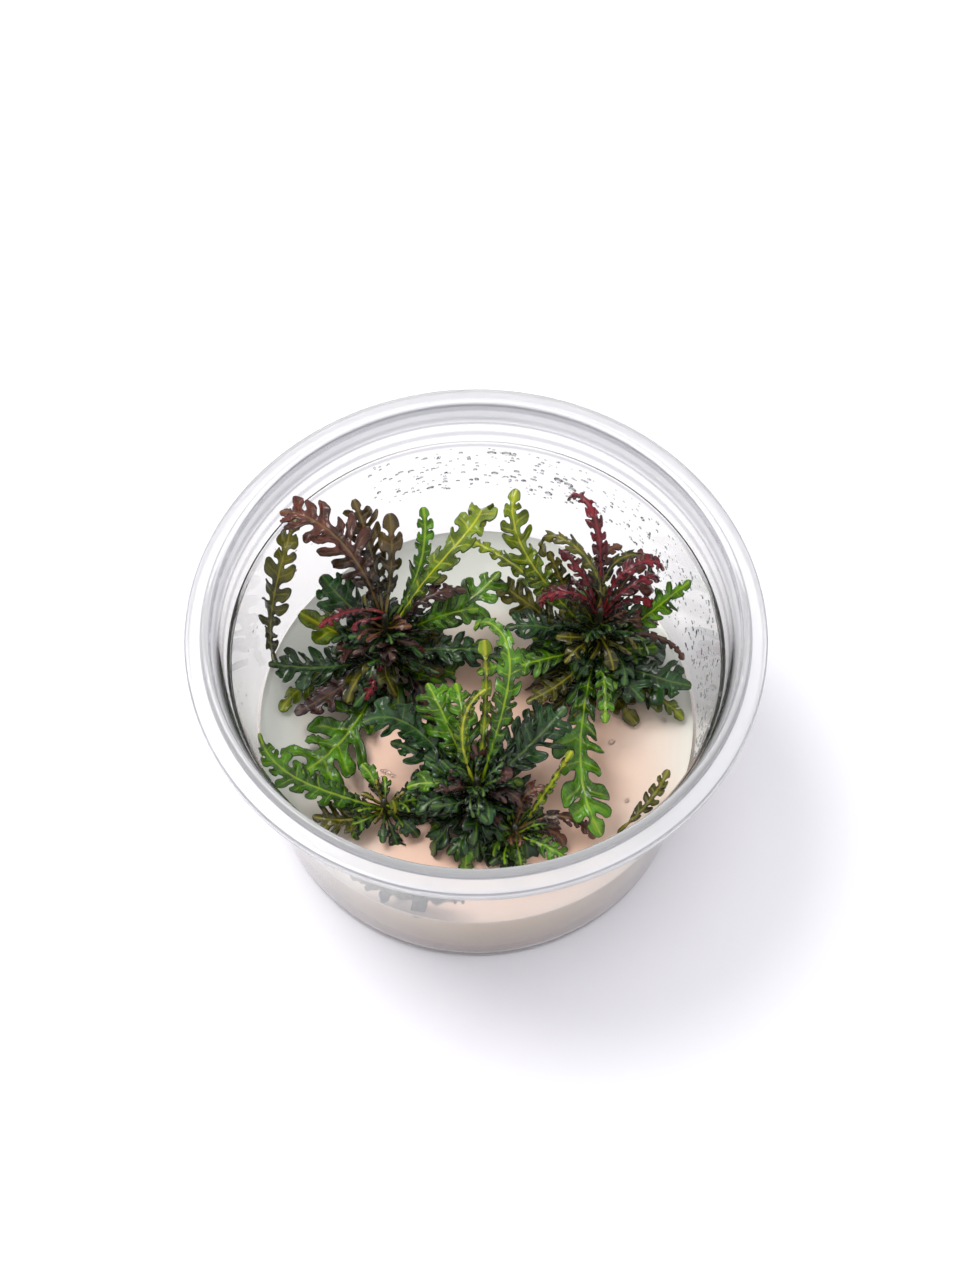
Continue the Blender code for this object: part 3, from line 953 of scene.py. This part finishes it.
def moulding_and_crease_shade_group():
    """Flow marks of moulded plastic, and a mask of painted shade at its corners, where it is
    thicker.
    """
    group, graph, _, result = new_group("moulding_marks_and_crease_shade", (), ("Marks", "Crease Shade"))
    where = graph.where()
    place = graph.split(where)
    across = graph.maths("MULTIPLY", place["X"], place["X"])
    radius = graph.maths("SQRT", graph.maths("MULTIPLY_ADD", place["Y"], place["Y"], across))
    crease_shade = 0.0
    # Painted shade: a thin grey line at each corner ring of the rim, above the wall
    for ring in CREASE_SHADE_RINGS:
        off = graph.maths("ABSOLUTE", graph.maths("SUBTRACT", radius, ring * MM))
        crease_shade = graph.maths("MAXIMUM", crease_shade, graph.ramp(off, 0.06 * MM, 0.22 * MM, 1.0, 0.0))
    step_z = WALL_STEP[1]
    above_wall = graph.ramp(place["Z"], (step_z - 0.6) * MM, (step_z - 0.2) * MM)
    graph.feed(result["Marks"], graph.noise(where, 90, 4))
    graph.feed(result["Crease Shade"], graph.maths("MULTIPLY", crease_shade, above_wall))
    return group


def clear_plastic(name, tint_and_crease_shade, clearness, roughness, group):
    """Polypropylene with one tint for its faces and a greyer one, painted shade, for its corners."""
    made, shader, graph = new_material(name)
    look = graph.node("Group", node_tree=group).outputs
    # The corners get the second, greyer tint, which is painted shade along the rim's creases
    graph.feed(shader["Base Color"], graph.mix(look["Crease Shade"], *tint_and_crease_shade))
    graph.feed(shader["Roughness"], graph.ramp(look["Marks"], 0.3, 0.7, *roughness))
    graph.feed(shader["Normal"], graph.bump(look["Marks"], 0.03, 0.2))
    shader["Transmission Weight"].default_value = clearness
    shader["IOR"].default_value = 1.49
    return made


def water_finish():
    made, shader, graph = new_material("water_drop")
    marks = graph.noise(graph.where(), 400)
    graph.feed(shader["Roughness"], graph.ramp(marks, 0.3, 0.7, 0.01, 0.06))
    shader["Base Color"].default_value = paint(238, 240, 243)
    shader["Transmission Weight"].default_value = 1.0
    shader["IOR"].default_value = 1.33
    return made


def arc(middle, radius, first_degrees, last_degrees, steps):
    """Points (radius, height) in mm on an arc, its two ends included."""
    for i in range(steps + 1):
        angle = math.radians(first_degrees + (last_degrees - first_degrees) * i / steps)
        yield middle[0] + radius * math.cos(angle), middle[1] + radius * math.sin(angle)


def straight(first, last):
    """Points of a straight run after its first. Those close to its ends keep its shading flat."""
    for share in (0.015, 0.03, 0.25, 0.5, 0.75, 0.97, 0.985, 1):
        yield tuple(a + (b - a) * share for a, b in zip(first, last))


def start_disc(name, sides, radius, height):
    """A flat disc in mm with all its points selected, in edit mode."""
    disc = {"vertices": sides, "radius": radius * MM, "location": (0, 0, height * MM)}
    piece = start_piece(name, bpy.ops.mesh.primitive_circle_add, fill_type="NGON", **disc)
    edit_points(piece, lambda point: True)
    return piece


def turned(name, profile, sectors):
    """A solid turned about Z from a profile of (radius, height) in mm: a disc at its first point is
    pulled out ring by ring and closed."""
    radius, height = profile[0]
    piece = start_disc(name, sectors, radius, height)
    bpy.ops.mesh.select_mode(type="EDGE")
    for next_radius, next_height in profile[1:]:
        lift = {"value": (0, 0, (next_height - height) * MM)}
        bpy.ops.mesh.extrude_edges_move(TRANSFORM_OT_translate=lift)
        grow = next_radius / radius
        bpy.ops.transform.resize(value=(grow, grow, 1), center_override=(0, 0, 0))
        radius, height = next_radius, next_height
    bpy.ops.mesh.edge_face_add()
    bpy.ops.mesh.select_all(action="SELECT")
    bpy.ops.mesh.normals_make_consistent(inside=False)
    end_edit()
    return piece


def tub_profile():
    """Half of the tub's section in mm: up the inside, over the rim and down the outside."""
    foot_r, foot_z = WALL_FOOT
    step_r, step_z = WALL_STEP
    top = TUB_HEIGHT
    seat = top - SEAT_BAND
    skirt_r = RIM_RADIUS - WALL
    # Floor, its round corner, the inner wall and the two steps of the seat band
    profile = [(foot_r - 8, TUB_FLOOR)]
    profile += arc((foot_r - FLOOR_ROUND, TUB_FLOOR + FLOOR_ROUND), FLOOR_ROUND, -90, -8, 6)
    profile += straight(profile[-1], WALL_STEP)
    profile += arc((step_r + 0.9, step_z + 0.9), 0.5, 180, 120, 3)
    profile += [(step_r + 1.5, seat), (step_r + 1.9, top - 5.0), (step_r + 2.6, top - 1.9)]
    # Round bead, flange and the skirt's two edges
    profile += arc((step_r + 3.4, top - BEAD_ROUND), BEAD_ROUND, 180, 10, 8)
    profile += [(step_r + 4.5, top - 1.1), (RIM_RADIUS - 1.2, top - 0.9)]
    profile += arc((RIM_RADIUS - 0.6, top - 1.5), 0.6, 90, 0, 4)
    profile += arc((RIM_RADIUS - WALL / 2, top - 3.3), WALL / 2, 0, -180, 4)
    # Underside of the flange and outside of the wall
    profile += [(skirt_r, top - 1.9), (skirt_r - 0.4, top - 1.6), (step_r + 3.7, top - 1.6)]
    profile += [(step_r + 3.3, top - 2.2), (step_r + 2.6, top - 5.0), (step_r + 2.4, seat)]
    profile += [(step_r + WALL, step_z - 0.3)]
    profile += straight(profile[-1], (foot_r + WALL, foot_z - 0.4))
    # Foot ring and the recess under the floor
    profile += arc((foot_r - 1.6, FOOT_ROUND), FOOT_ROUND, -10, -90, 5)
    profile += [(foot_r - 5.6, 0.0), (foot_r - 6.4, 0.6)]
    return profile


def make_tub(wall_finish, rim_finish):
    """The tub's skin: a clear wall, and milky plastic above the seat band."""
    tub = turned("tub_body", tub_profile(), TUB_SECTORS)
    smooth_below(tub, 35)
    tub.data.materials.append(wall_finish)
    tub.data.materials.append(rim_finish)
    for face in tub.data.polygons:
        face.material_index = int(face.center.z > (TUB_HEIGHT - SEAT_BAND) * MM)
    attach(tub, "root")
    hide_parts("cup")


def inner_radius(height):
    """Radius of the tub's inner wall in mm at a height in mm."""
    share = (height - WALL_FOOT[1]) / (WALL_STEP[1] - WALL_FOOT[1])
    return WALL_FOOT[0] + share * (WALL_STEP[0] - WALL_FOOT[0])


def make_gel(finish):
    """The set gel, with a soft uneven surface that creeps up a little at the wall."""
    foot_r, foot_z = WALL_FOOT
    edge = inner_radius(GEL_TOP) - GAP - 0.05
    under = TUB_FLOOR + GAP
    flat_edge = edge - CREEP_WIDE
    profile = [(foot_r - 5, under), (foot_r - 2.9 - GAP, under), (foot_r - 1.0 - GAP, 2.3)]
    profile += [(foot_r - GAP, foot_z + 0.4), (edge, GEL_TOP + CREEP)]
    profile += [(edge - 0.5, GEL_TOP + 0.12), (flat_edge, GEL_TOP)]
    profile += [(flat_edge - 3.1 * i, GEL_TOP) for i in range(1, 15)]
    gel = turned("gel_body", profile, GEL_SECTORS)
    for point in gel.data.vertices:
        if point.co.z > (GEL_TOP - 0.1) * MM and point.co.xy.length < (flat_edge + 0.1) * MM:
            swell = noise.noise(Vector((point.co.x * 90, point.co.y * 90, 2.0)))
            point.co.z += (0.1 * swell - 0.05) * MM
    smooth_below(gel, 40)
    gel.data.materials.append(finish)
    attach(gel, "root")
    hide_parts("gel")


def half_ball():
    """A round-backed drop 1 mm wide, flat underneath, at the origin."""
    ball = bpy.ops.mesh.primitive_ico_sphere_add
    drop = start_piece("drop", ball, subdivisions=2, radius=0.5 * MM)
    edit_points(drop, lambda point: True)
    bpy.ops.mesh.bisect(
        plane_co=(0, 0, 0.02 * MM), plane_no=(0, 0, 1), use_fill=True, clear_inner=True
    )
    bpy.ops.mesh.select_all(action="SELECT")
    bpy.ops.transform.resize(value=(1, 1, 0.55), center_override=(0, 0, 0))
    end_edit()
    return drop


def wall_places():
    """Place, turn and size of each drop on the inner wall."""
    chance = random.Random(5)
    for count, angles, heights, (smallest, largest), stretch in SPRAYS:
        for _ in range(count):
            angle = math.radians(chance.uniform(*angles))
            height = chance.uniform(*heights)
            wide = smallest + (largest - smallest) * chance.random() ** 2
            away = inner_radius(height) - 0.02
            inward = Vector((-math.cos(angle), -math.sin(angle), 0))
            turn = inward.to_track_quat("Z", "Y").to_matrix().to_4x4()
            tall = wide * stretch * chance.uniform(0.85, 1.3)
            size = Matrix.Diagonal((wide, tall, 0.6 * wide, 1))
            place = -inward * away * MM + Vector((0, 0, height * MM))
            yield Matrix.Translation(place) @ turn @ size


def gel_places():
    """Place, turn and size of each bead on the gel."""
    for x, y, long, wide, degrees in BEADS:
        turn = Matrix.Rotation(math.radians(degrees), 4, "Z")
        size = Matrix.Diagonal((long, wide, 1.5 * wide, 1))
        yield Matrix.Translation(Vector((x, y, GEL_TOP - 0.12)) * MM) @ turn @ size


def make_drops(finish):
    """All the water: one drop, copied, placed and joined."""
    drop = half_ball()
    drops = []
    for place in (*wall_places(), *gel_places()):
        drops.append(copy_of(drop, "drop_copy"))
        drops[-1].data.transform(place)
    bpy.data.objects.remove(drop, do_unlink=True)
    water = join_pieces("water_drops", drops)
    water.data.shade_smooth()
    water.data.materials.append(finish)
    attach(water, "root")


def make_stem(place, shoot, finish):
    """A tapering stem with a swollen node every few mm, which leans a little to the back."""
    stem = start_disc(place + "_shoot", STEM_SIDES, STEM_RADIUS, 0)
    rings = max(int(shoot.tall * 1.2), 8)
    radius = STEM_RADIUS
    for i in range(1, rings + 1):
        node = 0.12 if i % 4 == 0 else 0.0
        next_radius = STEM_RADIUS * (1 - 0.45 * i / rings + node) * (0.6 if i == rings else 1.0)
        grow = next_radius / radius
        back = STEM_LEAN * MM * (2 * i - 1) / rings**2
        middle = (0, STEM_LEAN * MM * (i / rings) ** 2, 0)
        pull_row((0, back, shoot.tall / rings * MM), (grow, grow, 1), middle)
        radius = next_radius
    bpy.ops.mesh.select_all(action="SELECT")
    bpy.ops.transform.translate(value=(shoot.x * MM, shoot.y * MM, (GEL_TOP + 0.05) * MM))
    bpy.ops.mesh.normals_make_consistent(inside=False)
    end_edit()
    stem.data.shade_smooth()
    stem.data.materials.append(finish)
    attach(stem, "root")
    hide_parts(place + "_stem")


def make_floor():
    floor = start_piece("floor", bpy.ops.mesh.primitive_plane_add, size=30)
    made, shader, _ = new_material("floor_paper")
    shader["Base Color"].default_value = paint(240, 239, 245)
    shader["Roughness"].default_value = 0.7
    floor.data.materials.append(made)


def set_up(data, place, looks_at):
    """A camera or a lamp at a place in metres, turned to look at another."""
    made = bpy.data.objects.new(data.name, data)
    made.location = place
    aim = Vector(looks_at) - Vector(place)
    made.rotation_euler = aim.to_track_quat("-Z", "Y").to_euler()
    bpy.context.scene.collection.objects.link(made)
    return made


def make_camera():
    data = bpy.data.cameras.new("camera")
    data.sensor_width = SENSOR_MM
    data.lens = SENSOR_MM * FOCAL_PX / PHOTO_HEIGHT_PX
    data.clip_start = 0.01
    bpy.context.scene.camera = set_up(data, CAMERA_AT, CAMERA_LOOKS_AT)


def area_light(name, place, size, power, colour):
    data = bpy.data.lights.new(name, "AREA")
    data.shape = "DISK"
    data.size = size
    data.energy = power
    data.color = colour
    set_up(data, place, LIT_PLACE)


def make_light():
    """An even dome that is brighter overhead, a key light from the left and a weak fill."""
    world = bpy.data.worlds.new("soft_studio")
    world.use_nodes = True
    background = world.node_tree.nodes["Background"]
    graph = Graph(world.node_tree)
    direction = graph.split(graph.node("TexCoord").outputs["Generated"])
    upward = graph.ramp(direction["Z"], -0.1, 0.5)
    graph.feed(background.inputs["Color"], graph.mix(upward, HORIZON_LIGHT, OVERHEAD_LIGHT))
    background.inputs["Strength"].default_value = 1.0
    bpy.context.scene.world = world
    area_light("key_light", (-0.32, 0.16, 0.8), 0.4, 4.8, (1.0, 0.99, 0.97))
    area_light("fill_light", (0.5, -0.5, 0.6), 0.8, 1.2, (0.96, 0.97, 1.0))
    bpy.context.scene.view_settings.view_transform = "Standard"


def main():
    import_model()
    make_camera()
    make_floor()
    make_light()
    veined = leaf_group()
    finishes = {name: leaf_finish(name, colours, veined) for name, colours in LEAF_PAINTS.items()}
    maker = LeafMaker(finishes)
    make_leaves(maker)
    make_crowns(maker)
    maker.clear_patterns()
    marks = moulding_and_crease_shade_group()
    # The second tint of each is painted shade along the rim's corners
    wall_tint_and_crease_shade = (paint(250, 249, 247), paint(190, 190, 195))
    rim_tint_and_crease_shade = (paint(241, 241, 243), paint(190, 190, 195))
    make_tub(
        clear_plastic("clear_wall", wall_tint_and_crease_shade, 0.98, (0.02, 0.06), marks),
        clear_plastic("milky_rim", rim_tint_and_crease_shade, 0.66, (0.07, 0.16), marks),
    )
    make_drops(water_finish())
    make_gel(gel_finish())
    stem_skin = stem_finish()
    for place, shoot in SHOOTS.items():
        make_stem(place, shoot, stem_skin)


main()
